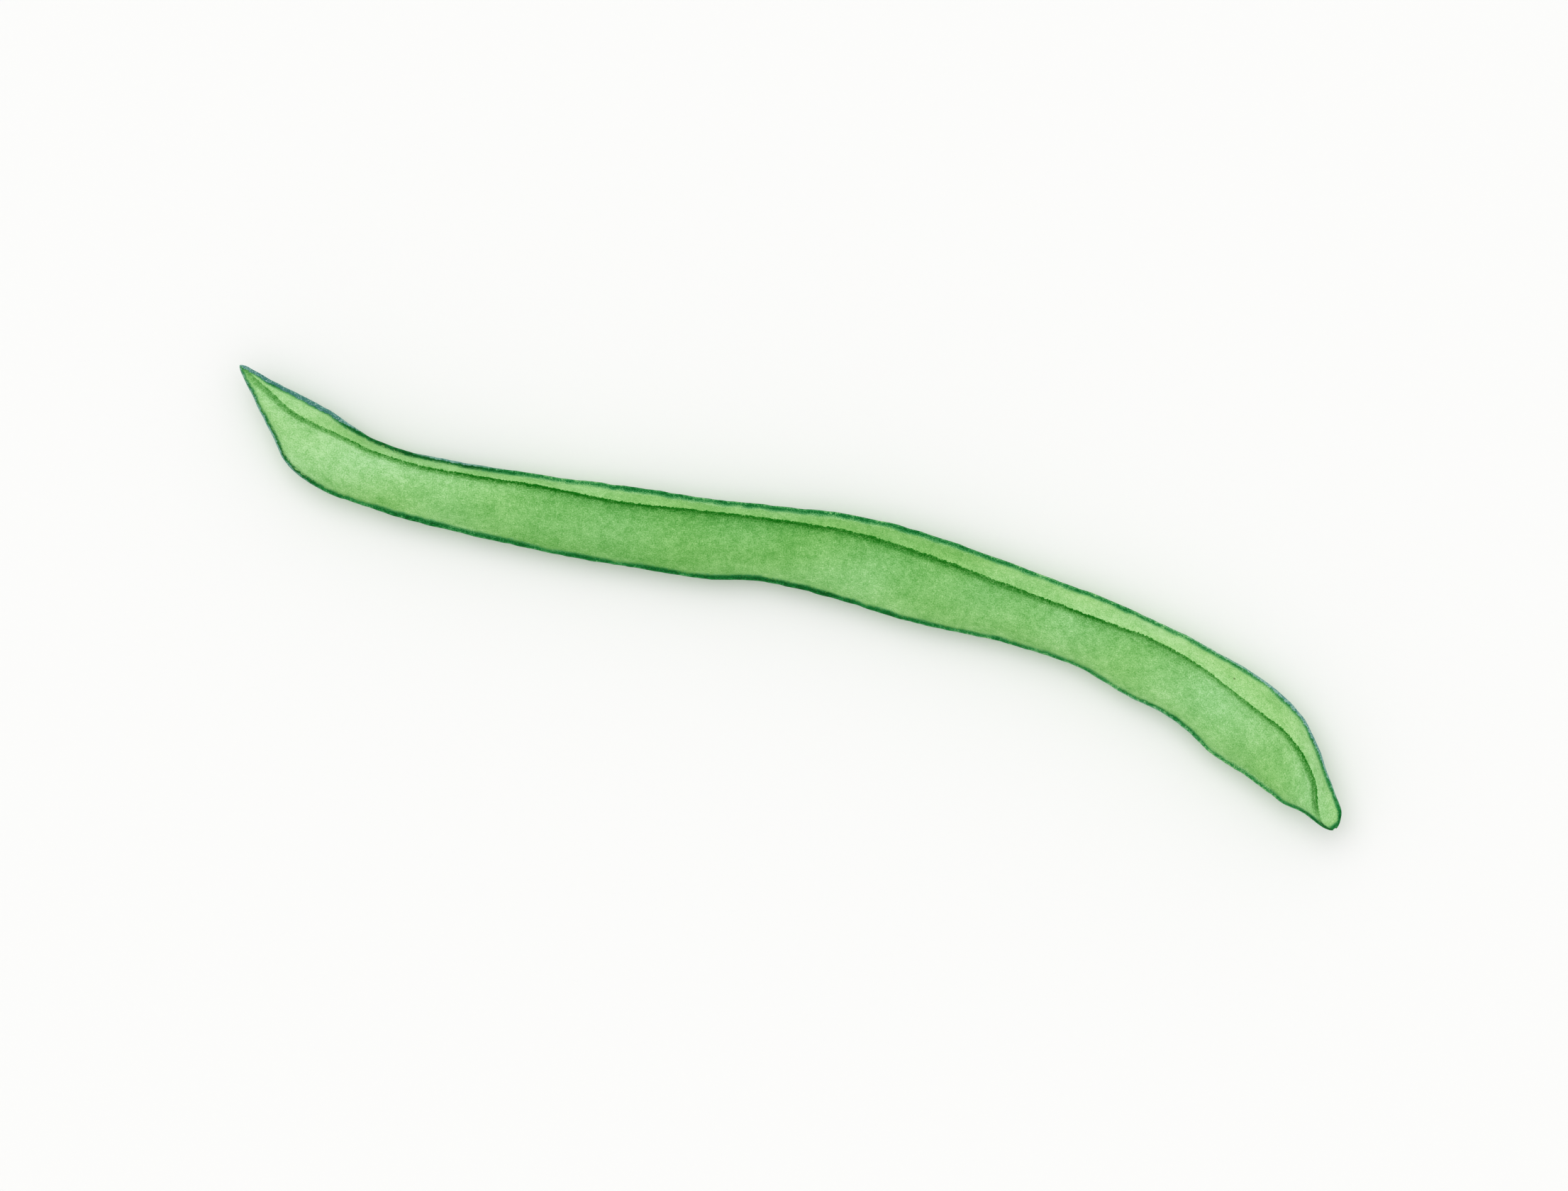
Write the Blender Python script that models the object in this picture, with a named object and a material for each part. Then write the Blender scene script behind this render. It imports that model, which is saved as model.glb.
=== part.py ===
"""A flat green bean pod, as picked, lying on one of its two broad sides.

Units are metres and +Z is up. The pod lies along X, with its pointed beak at -X and the neck where
it was picked at +X. Its rim, with the ventral seam, faces +Y and its back, with the dorsal seam,
faces -Y. The origin is in the middle of the pod's box, on the surface that the pod lies on.

The pod is one solid. Its outline is drawn flat, as distances from a curved spine to the ventral
edge, to the crease between the rim and the broad side, and to the dorsal edge. A cross section is
raised on that outline at each ring, alike on both sides.
"""

import math

import bpy
import numpy as np

MM = 0.001

# The spine in plan, from the beak to the neck: x and y in millimetres.
SPINE = (
    (-87.2, 0.0),
    (-80.0, -3.4),
    (-71.0, -6.2),
    (-60.0, -6.8),
    (-37.5, -3.0),
    (-12.5, 3.6),
    (12.5, 9.5),
    (38.0, 12.1),
    (60.0, 10.4),
    (74.0, 6.8),
    (82.0, 2.8),
    (86.7, -1.0),
)

# Along the spine in millimetres: distance from the beak, then the offsets from the spine to the
# ventral edge, to the crease and to the dorsal edge, and the greatest half thickness without the
# seeds. The rounding of both ends comes on top.
OUTLINE = (
    (0.0, 0.5, 0.0, -0.5, 0.5),
    (5.0, 2.25, 0.75, -1.75, 1.3),
    (10.0, 3.75, 1.0, -3.5, 2.1),
    (15.0, 4.75, 2.0, -5.5, 2.7),
    (18.0, 4.75, 2.5, -5.75, 2.9),
    (25.0, 4.5, 2.75, -5.25, 3.2),
    (35.0, 5.25, 3.5, -4.75, 3.2),
    (50.0, 5.75, 4.0, -5.25, 3.3),
    (65.0, 6.0, 3.5, -5.75, 3.4),
    (75.0, 5.75, 3.75, -6.0, 3.4),
    (85.0, 6.0, 4.0, -5.25, 3.4),
    (95.0, 6.5, 4.0, -6.0, 3.5),
    (105.0, 6.25, 3.25, -7.0, 3.5),
    (120.0, 5.25, 2.0, -6.25, 3.5),
    (135.0, 5.5, 2.25, -5.5, 3.5),
    (142.0, 5.75, 3.0, -6.0, 3.5),
    (150.0, 6.25, 3.0, -5.5, 3.5),
    (160.0, 6.75, 2.5, -6.5, 3.5),
    (165.0, 6.25, 2.75, -5.75, 3.3),
    (170.0, 4.75, 2.0, -5.0, 3.0),
    (173.0, 3.5, 1.0, -4.25, 2.6),
    (176.0, 2.75, -0.5, -2.5, 2.0),
    (178.0, 2.5, -1.0, -1.75, 1.8),
    (181.0, 1.75, -0.5, -1.25, 1.6),
)
BEAK_ROUNDING = 1.4 * MM  # length over which the beak's point is rounded off
NECK_ROUNDING = 3.2 * MM  # and the picked end of the neck

# The cross section.
RIDGE_SHARE = 0.86  # half thickness at the crease as a share of the greatest
CROWN_PLACE = 0.40  # where the side is thickest, as a share from the crease to the dorsal edge
RIM_FULLNESS = 1.6  # how full the rim's slope is: 1 is straight, and more is rounder
FALL_SHARPNESS = 1.3  # how the side falls to the back: 1 is an ellipse, and more is a sharper edge
CREASE_DROP = 0.32 * MM  # step down from the rim to the broad side
CREASE_RUN = 0.75 * MM  # width of that step
STRING_HALF = 0.45 * MM  # half thickness of the seam string on each edge
STRING_PROUD = 0.28 * MM  # how far the string stands out from the edge
FULL_SIZE_WIDTH = 7.0 * MM  # pod width from which the crease and the strings have their full size

# The seeds, which swell both sides alike.
SEED_FIRST = 21.0 * MM
SEED_PITCH = 17.4 * MM
SEED_COUNT = 9
SEED_SWELL = 0.32 * MM
SEED_REACH = 5.2 * MM

# How the pod lies.
REST_FLAT = 0.22 * MM  # depth to which the lowest swellings are pressed flat on the surface
BEAK_LIFT = 1.6 * MM
NECK_LIFT = 1.2 * MM
LIFT_REACH = 40.0 * MM
EVENED_OVER = 16.0 * MM  # length over which the spine's height follows the pod's thickness
RESTING_SHARE = 0.8  # the pod rests where it is at least this share of its greatest thickness
TWIST_BEAK = math.radians(-3.0)
TWIST_NECK = math.radians(5.0)

# The mesh.
RING_STEP = 2.0 * MM
END_RINGS = 7
RIM_COLUMNS = 3
RISE_COLUMNS = 3
FALL_ANGLES = tuple(math.radians(a) for a in (18.0, 36.0, 53.0, 68.0, 80.0))


def smooth_through(knots, values, places):
    """Smooth cubic curve through the values at the knots, read at the places."""
    knots = np.asarray(knots, float)
    values = np.asarray(values, float).reshape(len(knots), -1)
    spans = np.diff(knots)
    rises = np.diff(values, axis=0) / spans[:, None]
    share = (spans[1:] / (spans[1:] + spans[:-1]))[:, None]
    slopes = np.empty_like(values)
    slopes[1:-1] = rises[:-1] * share + rises[1:] * (1.0 - share)
    slopes[0] = 1.5 * rises[0] - 0.5 * slopes[1]
    slopes[-1] = 1.5 * rises[-1] - 0.5 * slopes[-2]
    at = np.clip(np.searchsorted(knots, places, side="right") - 1, 0, len(knots) - 2)
    span = spans[at][:, None]
    t = (np.asarray(places)[:, None] - knots[at][:, None]) / span
    from_values = (2 * t**3 - 3 * t**2 + 1) * values[at] + (3 * t**2 - 2 * t**3) * values[at + 1]
    from_slopes = (t**3 - 2 * t**2 + t) * slopes[at] + (t**3 - t**2) * slopes[at + 1]
    return from_values + span * from_slopes


class Spine:
    """The curved line that the pod grows along, read by the distance from the beak."""

    SAMPLES = 2000

    def __init__(self):
        points = np.array(SPINE) * MM
        chords = np.r_[0.0, np.cumsum(np.linalg.norm(np.diff(points, axis=0), axis=1))]
        self.line = smooth_through(chords, points, np.linspace(0.0, chords[-1], self.SAMPLES))
        steps = np.linalg.norm(np.diff(self.line, axis=0), axis=1)
        self.distance = np.r_[0.0, np.cumsum(steps)]
        self.length = self.distance[-1]

    def at(self, along):
        """Points on the spine and the directions square to it, towards the rim."""
        point = np.stack([np.interp(along, self.distance, self.line[:, k]) for k in (0, 1)], axis=1)
        slope = np.gradient(self.line, self.distance, axis=0)
        tangent = np.stack([np.interp(along, self.distance, slope[:, k]) for k in (0, 1)], axis=1)
        tangent /= np.linalg.norm(tangent, axis=1)[:, None]
        return point, np.stack([-tangent[:, 1], tangent[:, 0]], axis=1)


def ring_places(length):
    """Distances from the beak of the rings, closer together in the rounding of both ends."""
    turn = np.linspace(0.0, math.pi / 2, END_RINGS + 1)[1:]
    beak = BEAK_ROUNDING * (1.0 - np.cos(turn))
    neck = length - NECK_ROUNDING * (1.0 - np.cos(turn))[::-1]
    between = np.linspace(beak[-1], neck[0], int((neck[0] - beak[-1]) / RING_STEP))
    return np.r_[beak, between[1:-1], neck]


def rounding(along, length):
    """Share of the full width left by the rounding of both ends."""
    beak = np.clip(1.0 - along / BEAK_ROUNDING, 0.0, 1.0)
    neck = np.clip(1.0 - (length - along) / NECK_ROUNDING, 0.0, 1.0)
    return np.sqrt(1.0 - beak**2) * np.sqrt(1.0 - neck**2)


def seed_swell(along):
    """How much a seed swells the side at these distances from the beak."""
    seeds = SEED_FIRST + SEED_PITCH * np.arange(SEED_COUNT)
    apart = (along[:, None] - seeds[None, :]) / SEED_REACH
    return SEED_SWELL * np.exp(-(apart**2)).sum(axis=1)


def half_section(width, rim, thick, swell):
    """One side of a section, as distances from the ventral edge and heights over the seam plane.

    It runs from the ventral string over the rim, the crease and the crown to the dorsal string.
    """
    size = min(1.0, width / FULL_SIZE_WIDTH)
    proud = STRING_PROUD * size
    string = min(STRING_HALF, 0.4 * thick)
    ridge = RIDGE_SHARE * thick
    crown = rim + CROWN_PLACE * (width - rim)
    groove = rim + CREASE_RUN * size
    floor = ridge - CREASE_DROP * size
    rim_start = 2.0 * proud
    points = [(0.35 * proud, 0.75 * string), (rim_start, string)]
    for k in range(1, RIM_COLUMNS + 1):
        u = k / RIM_COLUMNS
        rise = 1.0 - (1.0 - u) ** RIM_FULLNESS
        points.append((rim_start + (rim - rim_start) * u, string + (ridge - string) * rise))
    points.append((groove, floor))
    for k in range(1, RISE_COLUMNS + 1):
        u = k / RISE_COLUMNS
        rise = math.sin(math.pi / 2 * u)
        points.append((groove + (crown - groove) * u, floor + (thick + swell - floor) * rise))
    back = width - proud
    for angle in FALL_ANGLES:
        a = crown + (back - crown) * math.sin(angle)
        left = math.cos(angle) ** FALL_SHARPNESS
        points.append((a, string + (thick + swell - string) * left))
    points.append((back, string))
    points.append((width - 0.35 * proud, 0.75 * string))
    return points


def full_section(width, rim, thick, swell):
    """The closed section, from the ventral seam round by the upper side and back by the lower one."""
    upper = half_section(width, rim, thick, swell)
    lower = [(a, -h) for a, h in reversed(upper)]
    return np.array([(0.0, 0.0)] + upper + [(width, 0.0)] + lower)


def pod_rings(spine):
    """Every ring of the pod as points in space, from the beak to the neck."""
    along = ring_places(spine.length)
    table = np.array(OUTLINE) * MM
    outline = smooth_through(table[:, 0], table[:, 1:], along)
    edges, thick = outline[:, :3], outline[:, 3]
    middle = (edges[:, :1] + edges[:, 2:]) / 2
    left = rounding(along, spine.length)
    ventral, crease, dorsal = (middle + (edges - middle) * left[:, None]).T
    thick = thick * left
    width = ventral - dorsal
    swell = seed_swell(along) * np.minimum(1.0, width / FULL_SIZE_WIDTH)
    twist = TWIST_BEAK + (TWIST_NECK - TWIST_BEAK) * along / spine.length
    sections = []
    for i in range(len(along)):
        section = full_section(width[i], ventral[i] - crease[i], thick[i], swell[i])
        sections.append(turned(ventral[i] - section[:, 0], section[:, 1], twist[i]))
    level = seam_level(along, sections, thick, spine.length)
    point, side = spine.at(along)
    rings = []
    for i, (across, up) in enumerate(sections):
        plan = point[i] + across[:, None] * side[i]
        rings.append(np.column_stack([plan, level[i] + up]))
    return rings


def turned(across, up, angle):
    """A section turned about the spine, with its ventral edge rising for a positive angle."""
    return (
        across * math.cos(angle) - up * math.sin(angle),
        across * math.sin(angle) + up * math.cos(angle),
    )


def seam_level(along, sections, thick, length):
    """Height of the spine along the pod, so that its swellings lie on one flat surface.

    It is each section's own depth below the spine, evened out over about one seed, with both ends
    curving up off the surface.
    """
    depth = np.array([-up.min() for _, up in sections])
    weight = np.exp(-(((along[:, None] - along[None, :]) / EVENED_OVER) ** 2))
    weight *= np.gradient(along)[None, :] * (thick[None, :] > RESTING_SHARE * thick.max())
    level = (weight * depth[None, :]).sum(axis=1) / weight.sum(axis=1)
    level += BEAK_LIFT * np.clip(1.0 - along / LIFT_REACH, 0.0, 1.0) ** 2
    level += NECK_LIFT * np.clip(1.0 - (length - along) / LIFT_REACH, 0.0, 1.0) ** 2
    return level


def end_point(ring, neighbour):
    """The point that closes the pod's end, a little beyond the last ring."""
    return ring.mean(axis=0) + 0.2 * (ring.mean(axis=0) - neighbour.mean(axis=0))


def pod_mesh(rings):
    """Closed mesh through the rings, pressed flat where it stands on the surface."""
    around = len(rings[0])
    points = np.vstack(rings + [end_point(rings[0], rings[1]), end_point(rings[-1], rings[-2])])
    points[:, 2] -= points[:, 2].min() + REST_FLAT
    points[:, 2] = np.maximum(points[:, 2], 0.0)
    low, high = points[:, :2].min(axis=0), points[:, :2].max(axis=0)
    points[:, :2] -= (low + high) / 2
    beak, neck = len(points) - 2, len(points) - 1
    faces = []
    for i in range(len(rings) - 1):
        for j in range(around):
            k = (j + 1) % around
            here, there = i * around, (i + 1) * around
            faces.append((here + j, here + k, there + k, there + j))
    last = (len(rings) - 1) * around
    for j in range(around):
        k = (j + 1) % around
        faces.append((beak, k, j))
        faces.append((neck, last + j, last + k))
    mesh = bpy.data.meshes.new("bean_pod")
    mesh.from_pydata(points.tolist(), [], faces)
    mesh.validate()
    return mesh


def skin_material():
    """Smooth green pod skin with a soft gloss."""
    material = bpy.data.materials.new("pod_skin")
    material.use_nodes = True
    shader = material.node_tree.nodes["Principled BSDF"]
    shader.inputs["Base Color"].default_value = (0.239, 0.546, 0.165, 1.0)
    shader.inputs["Roughness"].default_value = 0.55
    shader.inputs["Metallic"].default_value = 0.0
    return material


def clear_scene():
    """Removes every object of the open scene."""
    for old in list(bpy.data.objects):
        bpy.data.objects.remove(old)


def make_pod():
    """The pod as one object."""
    mesh = pod_mesh(pod_rings(Spine()))
    mesh.materials.append(skin_material())
    mesh.shade_smooth()
    pod = bpy.data.objects.new("bean_pod", mesh)
    bpy.context.scene.collection.objects.link(pod)
    return pod


clear_scene()
make_pod()
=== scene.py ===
"""The looks of a flat green bean pod that lies on one of its broad sides on a pale studio floor.

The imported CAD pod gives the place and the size. One finely modelled pod stands for it: it has the
CAD pod's outline and cross section, with many more rings and the small unevenness of a grown pod.
Lengths are in metres. The surface measures that the skin's nodes read are in millimetres.
"""

import logging
import math
from dataclasses import dataclass, field
from enum import Enum, IntEnum
from typing import Callable, Optional, Union

import bpy
import numpy as np
from mathutils import Matrix, Vector, noise


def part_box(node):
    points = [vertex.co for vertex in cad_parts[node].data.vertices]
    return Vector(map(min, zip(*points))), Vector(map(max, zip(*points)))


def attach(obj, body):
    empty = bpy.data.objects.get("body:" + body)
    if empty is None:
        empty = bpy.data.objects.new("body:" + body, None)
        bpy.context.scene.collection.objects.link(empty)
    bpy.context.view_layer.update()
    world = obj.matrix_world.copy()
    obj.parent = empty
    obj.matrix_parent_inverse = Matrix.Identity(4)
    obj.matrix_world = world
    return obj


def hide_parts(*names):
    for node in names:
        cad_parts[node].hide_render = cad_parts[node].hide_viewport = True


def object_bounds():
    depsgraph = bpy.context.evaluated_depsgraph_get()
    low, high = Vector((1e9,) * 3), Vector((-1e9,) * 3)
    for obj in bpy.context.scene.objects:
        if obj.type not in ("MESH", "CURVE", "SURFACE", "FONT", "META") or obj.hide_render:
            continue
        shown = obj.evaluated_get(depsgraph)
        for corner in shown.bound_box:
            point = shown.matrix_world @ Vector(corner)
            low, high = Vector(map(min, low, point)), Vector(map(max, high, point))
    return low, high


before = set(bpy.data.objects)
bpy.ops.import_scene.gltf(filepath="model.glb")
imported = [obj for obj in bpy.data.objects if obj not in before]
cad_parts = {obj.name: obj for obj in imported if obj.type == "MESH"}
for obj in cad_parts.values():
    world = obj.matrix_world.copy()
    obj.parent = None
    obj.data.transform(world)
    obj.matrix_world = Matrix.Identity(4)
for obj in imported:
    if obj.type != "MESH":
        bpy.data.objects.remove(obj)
CAD_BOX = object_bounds()

MM = 0.001
STUDIO_LIGHT = 1.06  # how much brighter than its base colour a level matt surface looks here
SHEEN = 0.003  # what the skin's gloss adds to that
DARKEST = 0.0015  # the least base colour on any channel
SRGB_SHIFT = 0.055
SRGB_POWER = 2.4
DRAW_SHIFT = (37.1, 11.7, 5.3)  # how far apart two patterns of swells are taken, in pitches

log = logging.getLogger("green_bean")

Triple = tuple[float, float, float]
Colour = Triple
Stops = tuple[tuple[float, Colour], ...]
Table = tuple[tuple[float, ...], ...]


class Measure(Enum):
    """The surface measures that a pod's mesh carries for its skin, one vector each."""

    PLACE = "pod_place"  # along the spine, round the section from the ventral seam, nothing
    EDGES = "pod_edges"  # from the ventral edge, past the crease, from the dorsal edge
    GREENS = "pod_greens"  # depth of green on the rim, on the broad side, and how warm it is
    CREASE_SHADE = "pod_crease"  # painted shade along the crease: how dark its line, the wash beside it and the band under it are
    STRING = "pod_string"  # how dark the nearer seam string is, its width and the bloom on it
    ENDS = "pod_ends"  # from the neck's end, share of the picking scar, width of the crease's painted shade band


class Blend(Enum):
    """Ways to lay one colour over another."""

    PLAIN = "MIX"
    DEEPEN = "MULTIPLY"


class Draw(IntEnum):
    """Which pattern of swells each unevenness takes. Skin and edges take three in a row each."""

    SKIN = 0
    EDGES_SHORT = 2
    EDGES_LONG = 12
    EDGES_FINE = 22
    CREASE_LINE = 31
    VENTRAL_STRING = 32
    DORSAL_STRING = 33


class Layer(Enum):
    """The layers of random swells in the skin's colour and relief, from broad to fine."""

    DRIFT = "drift"
    CLOUDS = "clouds"
    WANDER = "wander"
    MOTTLE = "mottle"
    STIPPLE = "stipple"
    JAGS = "jags"
    FLECKS = "flecks"
    GRAIN = "grain"


Weights = tuple[tuple[Layer, float], ...]


def stirring(**weights: float) -> Weights:
    """How strongly each of the named layers stirs a value."""
    return tuple((Layer(name), weight) for name, weight in weights.items())


def chip(red: int, green: int, blue: int) -> Colour:
    """Base colour that reads as this chip under the studio's light.

    Args:
        red: The chip's red, 0 to 255.
        green: Its green.
        blue: Its blue.

    Returns:
        The base colour, in linear light.
    """
    shares = (np.array([red, green, blue]) / 255.0 + SRGB_SHIFT) / (1.0 + SRGB_SHIFT)
    lit = np.maximum(shares**SRGB_POWER - SHEEN, DARKEST)
    return tuple(float(v) for v in lit / STUDIO_LIGHT)


def through(table: Table, places: np.ndarray) -> np.ndarray:
    """Smooth curves through a table's rows.

    Args:
        table: Rows of a distance and the values there.
        places: Distances to read the curves at.

    Returns:
        One row of values for each place.
    """
    rows = np.array(table, float)
    knots, values = rows[:, 0], rows[:, 1:]
    spans = np.diff(knots)
    rises = np.diff(values, axis=0) / spans[:, None]
    share = (spans[1:] / (spans[1:] + spans[:-1]))[:, None]
    slopes = np.empty_like(values)
    slopes[1:-1] = rises[:-1] * share + rises[1:] * (1.0 - share)
    slopes[0] = 1.5 * rises[0] - 0.5 * slopes[1]
    slopes[-1] = 1.5 * rises[-1] - 0.5 * slopes[-2]
    at = np.clip(np.searchsorted(knots, places, side="right") - 1, 0, len(knots) - 2)
    span = spans[at][:, None]
    t = (places[:, None] - knots[at][:, None]) / span
    low = (2 * t**3 - 3 * t**2 + 1) * values[at] + span * (t**3 - 2 * t**2 + t) * slopes[at]
    high = (3 * t**2 - 2 * t**3) * values[at + 1] + span * (t**3 - t**2) * slopes[at + 1]
    return low + high


def steps_to(end: float, count: int) -> np.ndarray:
    """Even steps from 0, which is left out, to the end."""
    return np.linspace(0.0, end, count + 1)[1:]


def uneven(points: np.ndarray, pitch: float, draw: int) -> np.ndarray:
    """Soft random swells, from about -1 to 1.

    Args:
        points: One row of coordinates, or one distance along a line, for each place.
        pitch: Rough distance between swells, in the points' unit.
        draw: Which of many such patterns to use.

    Returns:
        The swell at each place.
    """
    if points.ndim == 1:
        points = np.column_stack([points, np.zeros((len(points), 2))])
    shift = Vector([step * draw for step in DRAW_SHIFT])
    return np.array([noise.noise(Vector(p) / pitch + shift) for p in points])


def sums(operation: str, turned: bool = False) -> Callable[["Wire", "Value"], "Wire"]:
    """A method of Wire that joins it to another value.

    Args:
        operation: Blender's name for what a Math node does with the two.
        turned: Whether the other value comes first.

    Returns:
        The method.
    """

    def method(wire: "Wire", other: "Value") -> "Wire":
        """What the operation makes of the two values."""
        values = (other, wire) if turned else (wire, other)
        return wire.bench.sum_node(operation, *values)

    return method


class Wire:
    """A value that runs from one node to another, and that sums are written with."""

    def __init__(self, bench: "Bench", socket: bpy.types.NodeSocket) -> None:
        """Holds an output socket of a node on the bench."""
        self.bench = bench
        self.socket = socket

    __add__ = sums("ADD")
    __radd__ = sums("ADD", turned=True)
    __sub__ = sums("SUBTRACT")
    __rsub__ = sums("SUBTRACT", turned=True)
    __mul__ = sums("MULTIPLY")
    __rmul__ = sums("MULTIPLY", turned=True)
    __truediv__ = sums("DIVIDE")
    at_least = sums("MAXIMUM")
    at_most = sums("MINIMUM")

    def size(self) -> "Wire":
        """This value without its sign."""
        return self.bench.sum_node("ABSOLUTE", self)

    def faded(self, reach: float) -> "Wire":
        """1 where this value is 0 or less, falling off evenly beyond over the reach."""
        return self.bench.sum_node("EXPONENT", self.at_least(0.0) * (-1.0 / reach))

    def step(self, low: float, high: float) -> "Wire":
        """A smooth rise with this value, or a fall if high is the lower of the two.

        Args:
            low: Where it is still 0.
            high: Where it has become 1.

        Returns:
            0 beyond low, 1 beyond high and a smooth change between.
        """
        rise = self.bench.node(
            "ShaderNodeMapRange",
            {"interpolation_type": "SMOOTHSTEP"},
            {"Value": self, "From Min": min(low, high), "From Max": max(low, high)},
        )
        wire = Wire(self.bench, rise.outputs[0])
        return wire if high > low else 1.0 - wire


Value = Union[Wire, float]


@dataclass(frozen=True)
class Swells:
    """One layer of random swells over a surface."""

    pitch: float  # rough distance between swells in mm
    detail: float = 1.0  # how many finer layers are added
    rough: float = 0.5  # how strong each finer layer is beside the one before
    squash: Triple = (1.0, 1.0, 1.0)  # below 1 draws the swells out that way, above 1 shortens them
    peaks: Optional[tuple[float, float]] = None  # from where to where only the peaks come up


class Bench:
    """Where a material's nodes are made and joined."""

    def __init__(self, name: str) -> None:
        """Starts an empty material.

        Args:
            name: The material's name.
        """
        self.material = bpy.data.materials.new(name)
        self.material.use_nodes = True
        self.tree = self.material.node_tree
        self.tree.nodes.clear()

    def node(
        self,
        kind: str,
        settings: dict[str, object],
        sockets: dict[Union[str, int], object],
    ) -> bpy.types.Node:
        """Adds any node.

        Args:
            kind: Blender's name for its type.
            settings: Its properties, set before its sockets. "stops" fills a colour ramp with
                pairs of a place and a colour.
            sockets: A Wire, or a plain value, for each of its inputs, by name or number.

        Returns:
            The new node.
        """
        made = self.tree.nodes.new(kind)
        for name, setting in settings.items():
            if name != "stops":
                setattr(made, name, setting)
                continue
            stops = made.color_ramp.elements
            while len(stops) < len(setting):
                stops.new(1.0)
            for stop, (place, colour) in zip(stops, setting):
                stop.position = place
                stop.color = (*colour, 1.0)
        for name, value in sockets.items():
            if isinstance(value, Wire):
                self.tree.links.new(value.socket, made.inputs[name])
            else:
                made.inputs[name].default_value = value
        return made

    def sum_node(self, operation: str, *values: Value) -> Wire:
        """Adds a Math node of that operation on the values."""
        made = self.node("ShaderNodeMath", {"operation": operation}, dict(enumerate(values)))
        return Wire(self, made.outputs[0])

    def read(self, measure: Measure) -> Wire:
        """One of the mesh's measures as a vector."""
        made = self.node("ShaderNodeAttribute", {"attribute_name": measure.value}, {})
        return Wire(self, made.outputs["Vector"])

    def parts(self, vector: Wire) -> tuple[Wire, Wire, Wire]:
        """The three numbers of a vector."""
        made = self.node("ShaderNodeSeparateXYZ", {}, {0: vector})
        return tuple(Wire(self, out) for out in made.outputs)

    def stretch(self, vector: Wire, by: Triple) -> Wire:
        """A vector with each of its numbers multiplied."""
        made = self.node("ShaderNodeVectorMath", {"operation": "MULTIPLY"}, {0: vector, 1: by})
        return Wire(self, made.outputs[0])

    def apart(self, vector: Wire, point: Triple) -> Wire:
        """Distance of a vector from a point."""
        made = self.node("ShaderNodeVectorMath", {"operation": "DISTANCE"}, {0: vector, 1: point})
        return Wire(self, made.outputs["Value"])

    def speckle(self, place: Wire, swells: Swells) -> Wire:
        """Random swells over a surface.

        Args:
            place: Places in mm.
            swells: What the swells are like.

        Returns:
            Values from about -0.5 to 0.5, or from 0 to 1 where only the peaks come up.
        """
        sockets = {
            "Vector": self.stretch(place, swells.squash),
            "Scale": 1.0 / swells.pitch,
            "Detail": swells.detail,
            "Roughness": swells.rough,
        }
        made = self.node("ShaderNodeTexNoise", {"noise_dimensions": "3D"}, sockets)
        found = Wire(self, made.outputs[0]) - 0.5
        return found.step(*swells.peaks) if swells.peaks else found

    def ramp(self, value: Wire, stops: Stops) -> Wire:
        """A colour for each value.

        Args:
            value: The value.
            stops: Values, which may start below 0, and their colours.

        Returns:
            The colour.
        """
        low, high = stops[0][0], stops[-1][0]
        places = tuple(((place - low) / (high - low), colour) for place, colour in stops)
        share = (value - low) / (high - low)
        made = self.node("ShaderNodeValToRGB", {"stops": places}, {0: share})
        return Wire(self, made.outputs[0])

    def lay(self, share: Value, under: object, over: object, way: Blend = Blend.PLAIN) -> Wire:
        """One colour laid over another.

        Args:
            share: How much of the upper colour shows.
            under: The lower colour.
            over: The upper colour.
            way: How the two are laid.

        Returns:
            The colour that results.
        """
        lower, upper = ((*c, 1.0) if isinstance(c, tuple) else c for c in (under, over))
        settings = {"data_type": "RGBA", "blend_type": way.value}
        made = self.node("ShaderNodeMix", settings, {0: share, 6: lower, 7: upper})
        return Wire(self, made.outputs[2])

    def skin(self, sockets: dict[str, object]) -> bpy.types.Material:
        """Closes the material with a Principled shader.

        Args:
            sockets: A Wire, or a plain value, for each of the shader's inputs that is set.

        Returns:
            The finished material.
        """
        shader = self.node("ShaderNodeBsdfPrincipled", {}, sockets)
        self.node("ShaderNodeOutputMaterial", {}, {"Surface": Wire(self, shader.outputs[0])})
        return self.material


class SkinBench(Bench):
    """A bench with the pod's measures and the skin's random swells at hand."""

    def __init__(self, name: str, layers: dict[Layer, Swells]) -> None:
        """Starts a material that reads the measures on the mesh.

        Args:
            name: The material's name.
            layers: The layers of swells in the skin.
        """
        super().__init__(name)
        self.place = self.read(Measure.PLACE)
        self.along, _, _ = self.parts(self.place)
        self.from_ventral, self.past, self.from_dorsal = self.parts(self.read(Measure.EDGES))
        self.rim_green, self.side_green, self.warmth = self.parts(self.read(Measure.GREENS))
        # the painted shade along the crease: its line, its wash and its band
        self.line, self.wash, self.band = self.parts(self.read(Measure.CREASE_SHADE))
        self.string_green, self.string_half, self.bloom = self.parts(self.read(Measure.STRING))
        self.from_neck, self.scar, self.band_width = self.parts(self.read(Measure.ENDS))
        self.layers = {layer: self.speckle(self.place, swells) for layer, swells in layers.items()}

    def stir(self, value: Value, weights: Weights) -> Wire:
        """A value stirred by layers of swells.

        Args:
            value: The value.
            weights: How strongly each layer stirs it.

        Returns:
            The value with each layer added, times its weight.
        """
        for layer, weight in weights:
            value = value + weight * self.layers[layer]
        return value


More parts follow.
